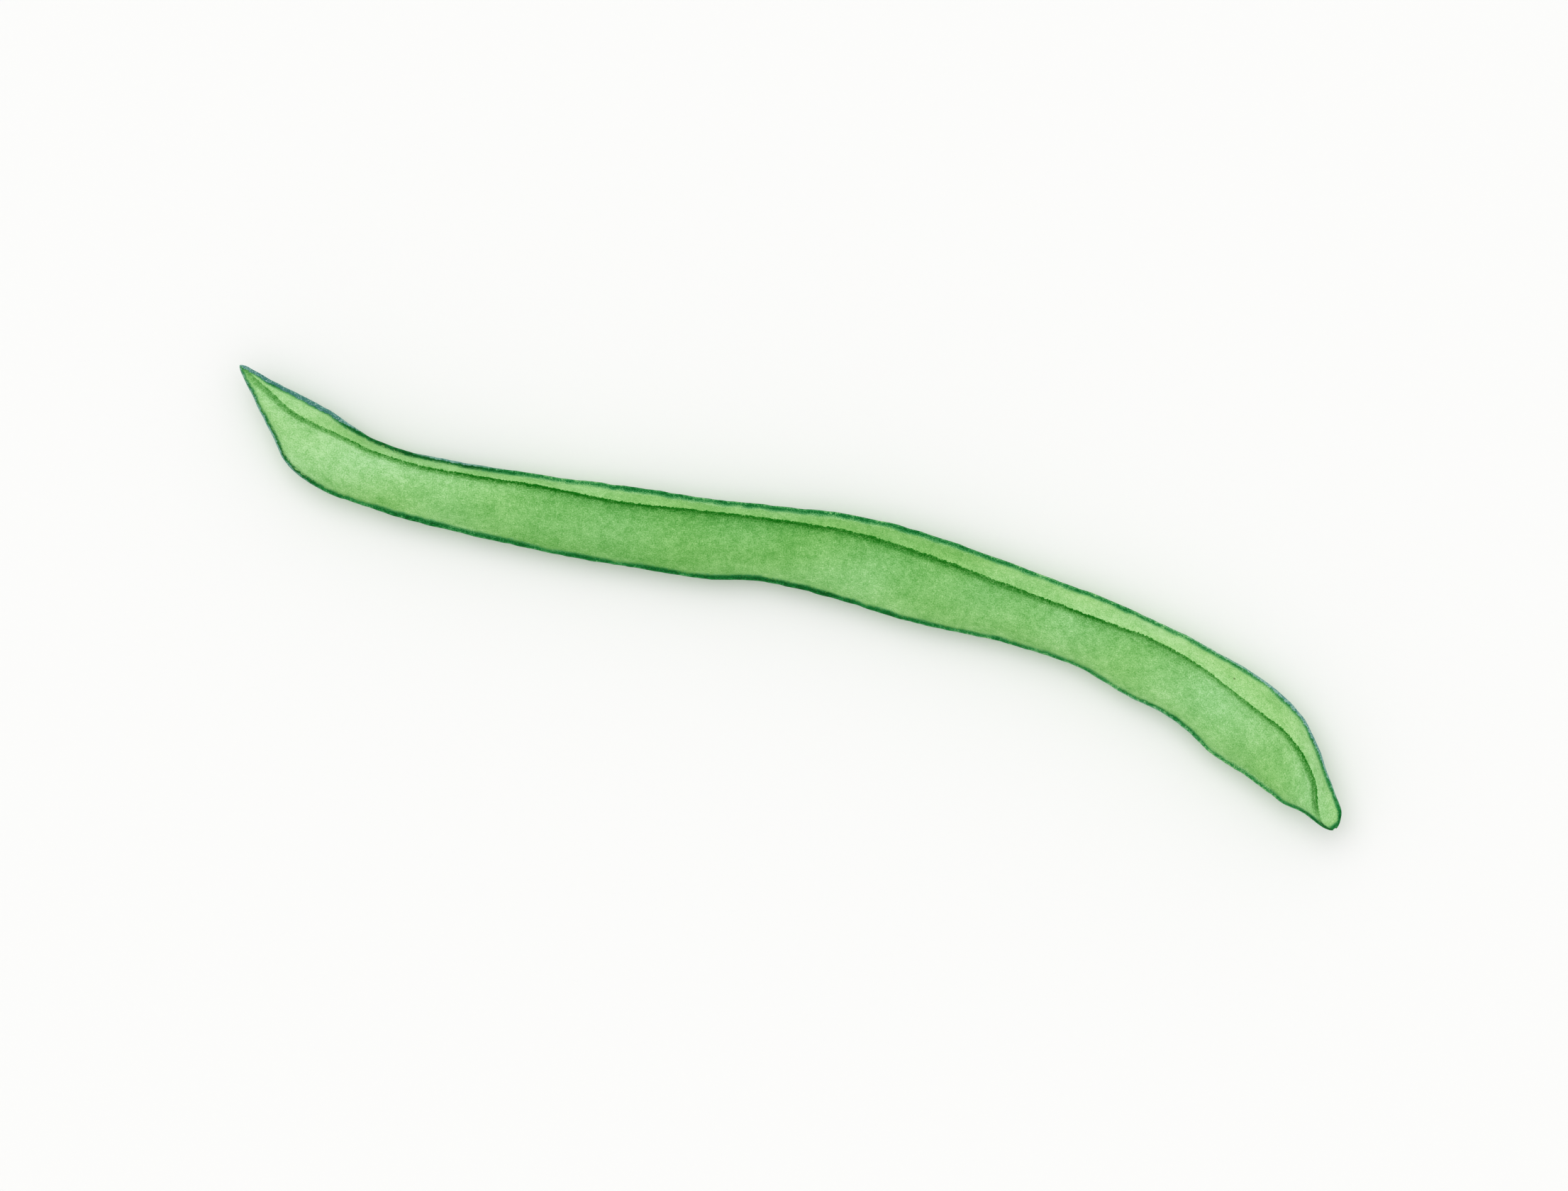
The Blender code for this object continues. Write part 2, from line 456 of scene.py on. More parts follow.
@dataclass(frozen=True)
class PodGreens:
    """How deep the green is along the pod, from about 0, pale, to 1, the dark of the painted shade
    in a crease.
    """

    # Distance from the beak in mm, then the depth on the rim, under the crease, in the middle of
    # the side and at its back, and how warm the rim, the green under the crease and the back are.
    surfaces: Table = (
        (0.0, 0.10, 0.25, 0.10, 0.10, 0.0, -0.6, -0.2),
        (12.0, 0.05, 0.00, 0.00, 0.10, 0.1, -0.6, 0.0),
        (30.0, 0.15, 0.00, 0.10, 0.15, 0.1, -0.6, 0.4),
        (60.0, 0.15, 0.20, 0.30, 0.30, 0.4, -0.4, 0.6),
        (90.0, 0.25, 0.30, 0.25, 0.20, 0.7, 0.0, 0.5),
        (120.0, 0.15, 0.20, 0.20, 0.15, 0.5, -0.3, 0.0),
        (145.0, 0.00, 0.15, 0.15, 0.10, 0.4, -0.5, 0.0),
        (165.0, 0.05, 0.05, 0.15, 0.15, 0.2, -0.5, 0.1),
        (181.0, 0.10, 0.10, 0.10, 0.10, 0.0, 0.0, 0.0),
    )
    across: tuple[float, float, float] = (0.15, 0.45, 0.80)  # shares from the crease to the back
    # Distance, then how dark the painted shade along the crease is in its line, the wash beside it
    # and the band under it, and how wide the band is in mm.
    crease: Table = (
        (0.0, 0.00, 0.00, 0.15, 0.9),
        (15.0, 0.25, 0.10, 0.35, 0.6),
        (30.0, 0.40, 0.20, 0.25, 0.6),
        (50.0, 0.80, 0.45, 0.10, 0.7),
        (80.0, 0.35, 0.40, 0.05, 0.6),
        (105.0, 0.15, 0.30, 0.20, 0.9),
        (130.0, 0.45, 0.35, 0.15, 0.6),
        (155.0, 0.25, 0.20, 0.15, 0.5),
        (172.0, 0.35, 0.15, 0.30, 0.8),
        (176.0, 0.35, 0.10, 0.25, 0.9),
        (178.0, 0.00, 0.00, 0.00, 0.6),
        (181.0, 0.00, 0.00, 0.00, 0.6),
    )
    # Distance, then for the ventral and then the dorsal string how dark it is, its half width and
    # how far in from the edge its bloom reaches, both in mm.
    strings: Table = (
        (0.0, 0.8, 0.75, 0.5, 0.8, 0.55, 0.20),
        (10.0, 0.6, 0.95, 0.7, 0.7, 0.65, 0.30),
        (16.0, 0.8, 0.90, 0.6, 1.1, 0.60, 0.20),
        (23.0, 1.0, 0.65, 0.0, 0.8, 0.60, 0.00),
        (35.0, 1.0, 0.75, 0.3, 0.7, 0.80, 0.00),
        (50.0, 0.7, 0.90, 0.0, 0.7, 0.70, 0.00),
        (90.0, 0.6, 0.95, 0.0, 1.0, 0.75, 0.00),
        (125.0, 0.6, 0.75, 0.0, 0.6, 0.60, 0.00),
        (150.0, 0.5, 0.75, 0.2, 0.5, 0.60, 0.15),
        (168.0, 0.5, 0.75, 0.4, 0.4, 0.75, 0.00),
        (181.0, 0.8, 0.65, 0.0, 0.7, 0.65, 0.05),
    )
    patch_pitch: float = 9.0  # rough distance in mm between a line's darkest places
    line_patches: float = 0.9  # how much the crease's painted shade line comes and goes, as a share of it
    string_patches: float = 0.30  # how much a string's depth does

    def lines(self, along: np.ndarray) -> tuple[np.ndarray, np.ndarray, np.ndarray]:
        """Values of the crease's painted shade and of the strings here, coming and going a little.

        Args:
            along: Distances from the beak in mm.

        Returns:
            The crease shade's, the ventral string's and the dorsal string's values, a row for each
            kind.
        """
        crease = through(self.crease, along).T
        ventral, dorsal = np.split(through(self.strings, along).T, 2)
        line_patches, ventral_patches, dorsal_patches = (
            uneven(along, self.patch_pitch, draw)
            for draw in (Draw.CREASE_LINE, Draw.VENTRAL_STRING, Draw.DORSAL_STRING)
        )
        crease[0] *= 1.0 + self.line_patches * line_patches
        ventral[0] += self.string_patches * ventral_patches
        dorsal[0] += self.string_patches * dorsal_patches
        return tuple(np.maximum(values, 0.0) for values in (crease, ventral, dorsal))

    def spread(self, surfaces: np.ndarray, across: np.ndarray) -> tuple[np.ndarray, ...]:
        """The greens at each point of each ring.

        Args:
            surfaces: The surfaces' values for the rings, a row for each kind.
            across: For each point, its share of the way from the crease to the back.

        Returns:
            Depths of green on the rim and on the broad side, and how warm the green is.
        """
        rim, under, middle, back, warm_rim, warm_under, warm_back = surfaces
        near, halfway, far = self.across
        first = np.clip((across - near) / (halfway - near), 0.0, 1.0)
        second = np.clip((across - halfway) / (far - halfway), 0.0, 1.0)
        side = under + (middle - under) * first + (back - middle) * second
        fade = np.clip(across, 0.0, 1.0)
        warm_side = warm_under * (1.0 - fade) + warm_back * fade
        return rim, side, np.where(across < 0.0, warm_rim, warm_side)


@dataclass(frozen=True)
class FreshPodSkin:
    """The finish of a fresh pod: mottled green, with shade painted along the crease, and dark on
    both strings.

    Distances on the skin are in millimetres. A field that ends in _stir says how strongly each
    layer of swells stirs that value.
    """

    layers: tuple[tuple[Layer, Swells], ...] = (
        (Layer.DRIFT, Swells(8.0, detail=0.0, squash=(0.6, 1.0, 1.0))),
        (Layer.CLOUDS, Swells(3.6, detail=0.0, squash=(0.6, 1.0, 1.0))),
        (Layer.WANDER, Swells(3.4, detail=0.0, squash=(1.0, 0.4, 1.0))),
        (Layer.MOTTLE, Swells(1.7)),
        (Layer.STIPPLE, Swells(0.62)),
        (Layer.JAGS, Swells(0.42, detail=2.0, rough=0.6)),
        (Layer.FLECKS, Swells(0.34, detail=0.0, squash=(1.0, 1.3, 1.0), peaks=(0.08, 0.20))),
        (Layer.GRAIN, Swells(0.20)),
    )

    # The rim and the broad sides.
    leaf: Stops = (
        (-0.13, chip(183, 227, 161)),
        (0.10, chip(147, 204, 125)),
        (0.36, chip(108, 176, 88)),
        (0.70, chip(53, 138, 42)),
        (1.00, chip(14, 111, 10)),
    )
    leaf_stir: Weights = stirring(
        drift=0.16, clouds=0.20, mottle=0.30, stipple=0.32, grain=0.66, flecks=-0.04
    )
    warm: Colour = (1.02, 1.0, 0.88)
    cool: Colour = (0.98, 1.0, 1.12)
    warm_drift: float = 0.9  # how much the broad drift warms and cools the green

    # The painted shade along the crease.
    onset: float = 0.16  # over what distance the crease's painted shade line sets in
    line_reach: float = 0.14
    shade_wash_reach: float = 1.00
    band_fade: float = 0.17  # half the width over which the band's edge fades
    crease_stir: Weights = stirring(jags=0.55, grain=0.10)
    band_stir: Weights = stirring(stipple=0.6)
    shade_stir: Weights = stirring(grain=1.3, stipple=0.9)

    # The strings.
    string: Stops = (
        (-0.15, chip(160, 214, 140)),
        (0.25, chip(93, 168, 98)),
        (0.50, chip(53, 142, 75)),
        (0.80, chip(20, 116, 48)),
        (1.30, chip(4, 81, 30)),
    )
    neck_pull: float = 0.8  # how fast the string's distance grows from the neck's end
    beak_pull: float = 0.6  # and from the beak's point
    string_fade: float = 0.19  # half the width over which a string's edge fades
    string_wander: float = 0.40  # how far that edge strays
    string_core: float = 0.30  # where a string is darkest, from the edge in plan
    core_push: float = 0.55  # how far in the bloom pushes that, as a share of the bloom's reach
    core_fall: float = 1.1  # how much paler a string gets for each millimetre away from there
    string_lift: float = 0.10  # how much darker than its table says a string is there
    cover_stir: Weights = stirring(stipple=0.60, grain=1.00)
    core_stir: Weights = stirring(stipple=0.30)
    string_stir: Weights = stirring(wander=0.45, mottle=0.7, stipple=0.9, grain=1.7)

    # The bloom on the strings.
    bloom: Stops = (
        (0.00, chip(140, 180, 172)),
        (0.50, chip(96, 152, 143)),
        (1.00, chip(62, 121, 115)),
    )
    bloom_fade: float = 0.08  # half the width over which the bloom's edge fades
    bloom_full: float = 0.40  # reach from which the bloom covers fully
    bloom_cover: float = 0.95
    bloom_start: float = -0.50  # its depth at the edge, and how that grows
    bloom_by_reach: float = 1.8
    bloom_inwards: float = 0.5
    reach_stir: Weights = stirring(stipple=0.5)
    bloom_stir: Weights = stirring(grain=4.6, stipple=2.2)

    # The picking scar and the freckle on the rim.
    scar_fibre: Colour = chip(158, 170, 112)
    scar_rise: tuple[float, float] = (0.25, 0.8)  # shares of the way in between which it comes up
    scar_cover: float = 0.8
    freckle: Colour = chip(70, 92, 40)
    freckle_place: Triple = (154.6, 3.2, 0.0)
    freckle_fade: tuple[float, float] = (0.20, 0.08)  # from its edge to where it is full
    freckle_cover: float = 0.75

    # The surface.
    gloss: float = 0.07
    roughness: float = 0.58
    string_roughness: float = 0.08  # how much rougher the strings are
    roughness_stir: Weights = stirring(mottle=0.25, grain=0.25)
    relief_stir: Weights = stirring(grain=0.040, stipple=0.050, mottle=0.080, flecks=0.012)

    def leaf_colour(self, bench: SkinBench) -> Wire:
        """Green of the rim and the broad sides, with painted shade along the crease.

        Args:
            bench: Where the skin's nodes are made.

        Returns:
            The colour.
        """
        # Painted shade along the crease: a dark line at it, a wash fading past it and a band under
        # it.
        jagged = bench.stir(bench.past, self.crease_stir)
        under = jagged.step(-self.onset, 0.0)
        past_band = bench.stir(jagged - bench.band_width, self.band_stir)
        shade_band = bench.band * past_band.step(self.band_fade, -self.band_fade)
        shade_line = bench.line * jagged.faded(self.line_reach)
        shade_wash_fade = bench.wash * jagged.faded(self.shade_wash_reach)
        dark = (shade_line + shade_wash_fade + shade_band) * bench.stir(1.0, self.shade_stir)
        depth = bench.rim_green + (bench.side_green + dark - bench.rim_green) * under
        leaf = bench.ramp(depth + bench.stir(0.0, self.leaf_stir), self.leaf)
        share = 0.5 + 0.5 * bench.warmth + self.warm_drift * bench.layers[Layer.DRIFT]
        return bench.lay(1.0, leaf, bench.lay(share, self.cool, self.warm), Blend.DEEPEN)

    def string_cover(self, bench: SkinBench, edge: Wire) -> Wire:
        """How far the strings cover the green.

        Args:
            bench: Where the skin's nodes are made.
            edge: Distance from the nearest edge in mm.

        Returns:
            From 0, bare, to 1, covered.
        """
        strayed = self.string_wander * bench.layers[Layer.WANDER]
        past = bench.stir(edge, self.cover_stir) - bench.string_half - strayed
        return (past / self.string_fade).step(1.0, -1.0)

    def string_colour(self, bench: SkinBench, edge: Wire) -> Wire:
        """Dark green of the strings, with the bloom on them.

        Args:
            bench: Where the skin's nodes are made.
            edge: Distance from the nearest edge in mm.

        Returns:
            The colour.
        """
        from_core = bench.stir(edge, self.core_stir) - self.string_core
        off_core = (from_core - self.core_push * bench.bloom).size()
        depth = bench.string_green + self.string_lift - self.core_fall * off_core
        string = bench.ramp(bench.stir(depth, self.string_stir), self.string)
        past = bench.stir(edge, self.reach_stir) - bench.bloom
        bloomed = past.step(self.bloom_fade, -self.bloom_fade)
        bloomed = bloomed * bench.bloom.step(0.0, self.bloom_full)
        depth = self.bloom_by_reach * bench.bloom + self.bloom_inwards * edge + self.bloom_start
        bloom = bench.ramp(bench.stir(depth, self.bloom_stir), self.bloom)
        return bench.lay(bloomed * self.bloom_cover, string, bloom)

    def material(self) -> bpy.types.Material:
        """Makes the finish, which reads the pod's measures.

        Returns:
            The finish as a material.
        """
        bench = SkinBench("fresh_pod_skin", dict(self.layers))
        edge = bench.from_ventral.at_most(bench.from_dorsal)
        edge = edge.at_most(bench.from_neck * self.neck_pull)
        edge = edge.at_most(bench.along * self.beak_pull)
        shown = self.string_cover(bench, edge)
        colour = bench.lay(shown, self.leaf_colour(bench), self.string_colour(bench, edge))
        scarred = bench.scar.step(*self.scar_rise) * self.scar_cover
        colour = bench.lay(scarred, colour, self.scar_fibre)
        spot = bench.apart(bench.place, self.freckle_place).step(*self.freckle_fade)
        colour = bench.lay(spot * self.freckle_cover, colour, self.freckle)
        roughness = bench.stir(self.roughness, self.roughness_stir)
        relief = {"Strength": 1.0, "Distance": MM, "Height": bench.stir(0.0, self.relief_stir)}
        bump = bench.node("ShaderNodeBump", {}, relief)
        return bench.skin(
            {
                "Base Color": colour,
                "Roughness": roughness + self.string_roughness * shown,
                "Normal": Wire(bench, bump.outputs[0]),
                "Specular IOR Level": self.gloss,
            }
        )


@dataclass(frozen=True)
class PaleFloorPaint:
    """The finish of the studio floor: plain and nearly white."""

    colour: Colour = (0.90, 0.90, 0.89)
    roughness: float = 0.9
    gloss: float = 0.1

    def material(self) -> bpy.types.Material:
        """Makes the finish.

        Returns:
            The finish as a material.
        """
        return Bench("pale_floor_paint").skin(
            {
                "Base Color": (*self.colour, 1.0),
                "Roughness": self.roughness,
                "Specular IOR Level": self.gloss,
            }
        )


@dataclass
class Spine:
    """The curved line that the pod grows along, read by the distance from the beak."""

    # x and y in mm, from the beak to the neck.
    bends: Table = (
        (-87.2, 0.0), (-80.0, -3.4), (-71.0, -6.2), (-60.0, -6.8),
        (-37.5, -3.0), (-12.5, 3.6), (12.5, 9.5), (38.0, 12.1),
        (60.0, 10.4), (74.0, 6.8), (82.0, 2.8), (86.7, -1.0),
    )
    samples: int = 4000
    line: np.ndarray = field(init=False, repr=False)
    distance: np.ndarray = field(init=False, repr=False)

    def __post_init__(self) -> None:
        """Works out the line and how far along it each of its points is."""
        points = np.array(self.bends) * MM
        chords = np.r_[0.0, np.cumsum(np.linalg.norm(np.diff(points, axis=0), axis=1))]
        rows = tuple(map(tuple, np.column_stack([chords, points])))
        self.line = through(rows, np.linspace(0.0, chords[-1], self.samples))
        steps = np.linalg.norm(np.diff(self.line, axis=0), axis=1)
        self.distance = np.r_[0.0, np.cumsum(steps)]

    @property
    def length(self) -> float:
        """Length of the line."""
        return float(self.distance[-1])

    def at(self, along: np.ndarray) -> tuple[np.ndarray, np.ndarray]:
        """Places on the line.

        Args:
            along: Distances from the beak.

        Returns:
            The points, and the directions square to the line, towards the rim.
        """
        slope = np.gradient(self.line, self.distance, axis=0)
        tangent = self.read(slope, along)
        tangent /= np.linalg.norm(tangent, axis=1)[:, None]
        return self.read(self.line, along), np.stack([-tangent[:, 1], tangent[:, 0]], axis=1)

    def read(self, values: np.ndarray, along: np.ndarray) -> np.ndarray:
        """Rows of values that belong to the line's points, read at these distances."""
        return np.stack([np.interp(along, self.distance, column) for column in values.T], axis=1)


@dataclass
class Outline:
    """The pod's outline in plan and its thickness, ring by ring."""

    # Along the spine in mm, then the offsets from the spine to the ventral edge, to the crease and
    # to the dorsal edge, and the greatest half thickness without the seeds.
    rows: Table = (
        (0.0, 0.4, 0.0, -0.4, 0.4),
        (5.0, 2.25, 0.75, -1.75, 1.3),
        (10.0, 3.75, 1.0, -3.5, 2.1),
        (15.0, 4.75, 2.0, -5.5, 2.7),
        (18.0, 4.75, 2.5, -5.75, 2.9),
        (25.0, 4.5, 2.75, -5.25, 3.2),
        (35.0, 5.25, 3.5, -4.75, 3.2),
        (50.0, 5.75, 4.0, -5.25, 3.3),
        (65.0, 6.0, 3.5, -5.75, 3.4),
        (75.0, 5.75, 3.75, -6.0, 3.4),
        (85.0, 6.0, 4.0, -5.25, 3.4),
        (95.0, 6.5, 4.0, -6.0, 3.5),
        (105.0, 6.25, 3.25, -7.0, 3.5),
        (120.0, 5.25, 2.0, -6.25, 3.5),
        (135.0, 5.5, 2.25, -5.5, 3.5),
        (142.0, 5.75, 3.0, -6.0, 3.5),
        (150.0, 6.25, 3.0, -5.5, 3.5),
        (160.0, 6.75, 2.5, -6.5, 3.5),
        (165.0, 6.25, 2.75, -5.75, 3.3),
        (170.0, 4.75, 2.0, -5.0, 3.0),
        (173.0, 3.5, 1.0, -4.25, 2.6),
        (176.0, 2.75, -0.5, -2.5, 2.0),
        (178.0, 2.5, -1.0, -1.75, 1.8),
        (181.0, 1.75, -0.5, -1.25, 1.6),
    )
    full_width: float = 7.0 * MM  # width from which the crease and strings have their full size
    # How far the ventral edge, the crease and the dorsal edge stray from their smooth lines, and
    # the swells that they stray in: distance between them, strength and pattern.
    waver: Triple = (0.085 * MM, 0.07 * MM, 0.085 * MM)
    waver_swells: tuple[tuple[float, float, Draw], ...] = (
        (2.1 * MM, 1.0, Draw.EDGES_SHORT),
        (5.3 * MM, 1.0, Draw.EDGES_LONG),
        (1.2 * MM, 0.7, Draw.EDGES_FINE),
    )
    ridge_lean: float = 0.86  # height of the crease over the seams, in half thicknesses

    def read(
        self, along: np.ndarray, share: np.ndarray, turn: np.ndarray
    ) -> tuple[np.ndarray, ...]:
        """The outline at each ring.

        Args:
            along: Distances from the beak.
            share: Share of the full width that the rounding of the ends leaves.
            turn: Turn of each ring about the spine, which carries the crease sideways.

        Returns:
            Offsets to the ventral edge, the crease and the dorsal edge, and the half thickness.
        """
        found = through(tuple(tuple(v * MM for v in row) for row in self.rows), along)
        edges, thick = found[:, :3], found[:, 3]
        for k, strength in enumerate(self.waver):
            for pitch, share_of_it, first in self.waver_swells:
                edges[:, k] += share_of_it * strength * uneven(along, pitch, first + k)
        edges[:, 1] += self.ridge_lean * thick * np.sin(turn)
        middle = (edges[:, :1] + edges[:, 2:]) / 2
        ventral, crease, dorsal = (middle + (edges - middle) * share[:, None]).T
        return ventral, crease, dorsal, thick * share


@dataclass
class SeedRow:
    """The seeds inside, which swell both broad sides alike."""

    first: float = 21.0 * MM
    pitch: float = 17.4 * MM
    count: int = 9
    swell: float = 0.32 * MM
    reach: float = 5.2 * MM

    def swell_at(self, along: np.ndarray) -> np.ndarray:
        """How much the seeds swell a side.

        Args:
            along: Distances from the beak.

        Returns:
            What they add to the half thickness there.
        """
        seeds = self.first + self.pitch * np.arange(self.count)
        apart = (along[:, None] - seeds[None, :]) / self.reach
        return self.swell * np.exp(-(apart**2)).sum(axis=1)


@dataclass
class CrossSection:
    """One side of the pod's section: ventral string, rim, crease, crown and dorsal string."""

    ridge_share: float = 0.86  # half thickness at the crease as a share of the greatest
    crown_place: float = 0.40  # where the side is thickest, from the crease to the dorsal edge
    rim_fullness: float = 1.6  # 1 is a straight slope, and more is rounder
    fall_sharpness: float = 1.3  # 1 is an ellipse, and more is a sharper edge
    crease_drop: float = 0.34 * MM
    crease_run: float = 0.42 * MM
    string_half: float = 0.45 * MM  # half thickness of the string
    string_half_cap: float = 0.40  # and at most this share of the pod's own half thickness
    string_reach: float = 0.30 * MM  # half width of the string in plan
    string_reach_cap: float = 0.12  # and at most this share of the pod's width
    string_foot: float = 0.86  # where the sides meet the string, in its half thicknesses
    string_wrap: float = math.radians(128.0)  # how far round its cord the string is free
    string_columns: int = 9
    rim_columns: int = 14
    crease_columns: int = 8
    rise_columns: int = 18
    fall_columns: int = 26
    softening: int = 2  # times that the corners are eased

    def side(
        self,
        width: np.ndarray,
        rim: np.ndarray,
        thick: np.ndarray,
        swell: np.ndarray,
        size: np.ndarray,
    ) -> tuple[np.ndarray, np.ndarray]:
        """One side of the section at every ring.

        Args:
            width: Full width of each ring.
            rim: Width of its rim, from the ventral edge to the crease.
            thick: Its half thickness without the seeds.
            swell: How much a seed adds there.
            size: Share of their full size that the crease and strings have.

        Returns:
            Distances from the ventral edge, and heights over the plane of the seams.
        """
        width, rim, thick, swell, size = (v[:, None] for v in (width, rim, thick, swell, size))
        reach = np.minimum(self.string_reach * size, self.string_reach_cap * width)
        half = np.minimum(self.string_half, self.string_half_cap * thick)
        ridge = self.ridge_share * thick
        floor = ridge - self.crease_drop * size
        groove = rim + self.crease_run * size
        crown = rim + self.crown_place * (width - rim)
        top = thick + swell

        wrap = np.linspace(0.0, self.string_wrap, self.string_columns)
        cord_out = reach * (1.0 - np.cos(wrap))
        cord_up = half * np.sin(wrap)
        start, start_up = 2.0 * reach, self.string_foot * half
        u = np.linspace(0.0, 1.0, self.rim_columns)
        rim_out = start + (rim - start) * u
        rim_up = start_up + (ridge - start_up) * (1.0 - (1.0 - u) ** self.rim_fullness)
        u = steps_to(1.0, self.crease_columns)
        drop_out = rim + (groove - rim) * u
        drop_up = ridge + (floor - ridge) * (3 * u**2 - 2 * u**3)
        u = steps_to(1.0, self.rise_columns)
        rise_out = groove + (crown - groove) * u
        rise_up = floor + (top - floor) * np.sin(math.pi / 2 * u)
        turn = steps_to(math.pi / 2, self.fall_columns)
        back = width - 2.0 * reach
        fall_out = crown + (back - crown) * np.sin(turn)
        fall_up = start_up + (top - start_up) * np.maximum(np.cos(turn), 0.0) ** self.fall_sharpness

        out = np.hstack([cord_out, rim_out, drop_out, rise_out, fall_out, width - cord_out[:, ::-1]])
        up = np.hstack([cord_up, rim_up, drop_up, rise_up, fall_up, cord_up[:, ::-1]])
        for _ in range(self.softening):
            out[:, 1:-1] = (out[:, :-2] + 2 * out[:, 1:-1] + out[:, 2:]) / 4
            up[:, 1:-1] = (up[:, :-2] + 2 * up[:, 1:-1] + up[:, 2:]) / 4
        return out, up


@dataclass
class Lie:
    """How the pod lies: twisted a little, level along its middle, with both ends off the floor."""

    flat: float = 0.22 * MM  # depth to which the lowest swellings are pressed flat
    beak_lift: float = 1.6 * MM
    neck_lift: float = 1.2 * MM
    lift_reach: float = 40.0 * MM  # how far in from each end the lifts reach
    evened_over: float = 16.0 * MM  # over which the spine's height follows the pod's thickness
    resting_share: float = 0.8  # it rests where it is at least this share of its thickest
    twist_beak: float = math.radians(-3.0)
    twist_neck: float = math.radians(5.0)

    def twist(self, along: np.ndarray, length: float) -> np.ndarray:
        """Turn of each ring about the spine."""
        return self.twist_beak + (self.twist_neck - self.twist_beak) * along / length

    def level(
        self, along: np.ndarray, depth: np.ndarray, thick: np.ndarray, length: float
    ) -> np.ndarray:
        """Height of the spine at each ring.

        Args:
            along: Distances from the beak.
            depth: How far each section reaches below the spine.
            thick: Half thickness of each ring.
            length: Length of the spine.

        Returns:
            The heights, up to a common shift.
        """
        weight = np.exp(-(((along[:, None] - along[None, :]) / self.evened_over) ** 2))
        weight *= np.gradient(along)[None, :] * (thick > self.resting_share * thick.max())[None, :]
        level = (weight * depth[None, :]).sum(axis=1) / weight.sum(axis=1)
        level += self.beak_lift * np.clip(1.0 - along / self.lift_reach, 0.0, 1.0) ** 2
        level += self.neck_lift * np.clip(1.0 - (length - along) / self.lift_reach, 0.0, 1.0) ** 2
        return level


@dataclass
class Rings:
    """The pod's rings as points, with what each point measures on the surface."""

    points: np.ndarray  # ring, column, xyz
    out: np.ndarray  # distance from the ventral edge in plan
    around: np.ndarray  # distance round the section from the ventral seam, below it negative
    along: np.ndarray
    width: np.ndarray
    rim: np.ndarray
    scar: np.ndarray


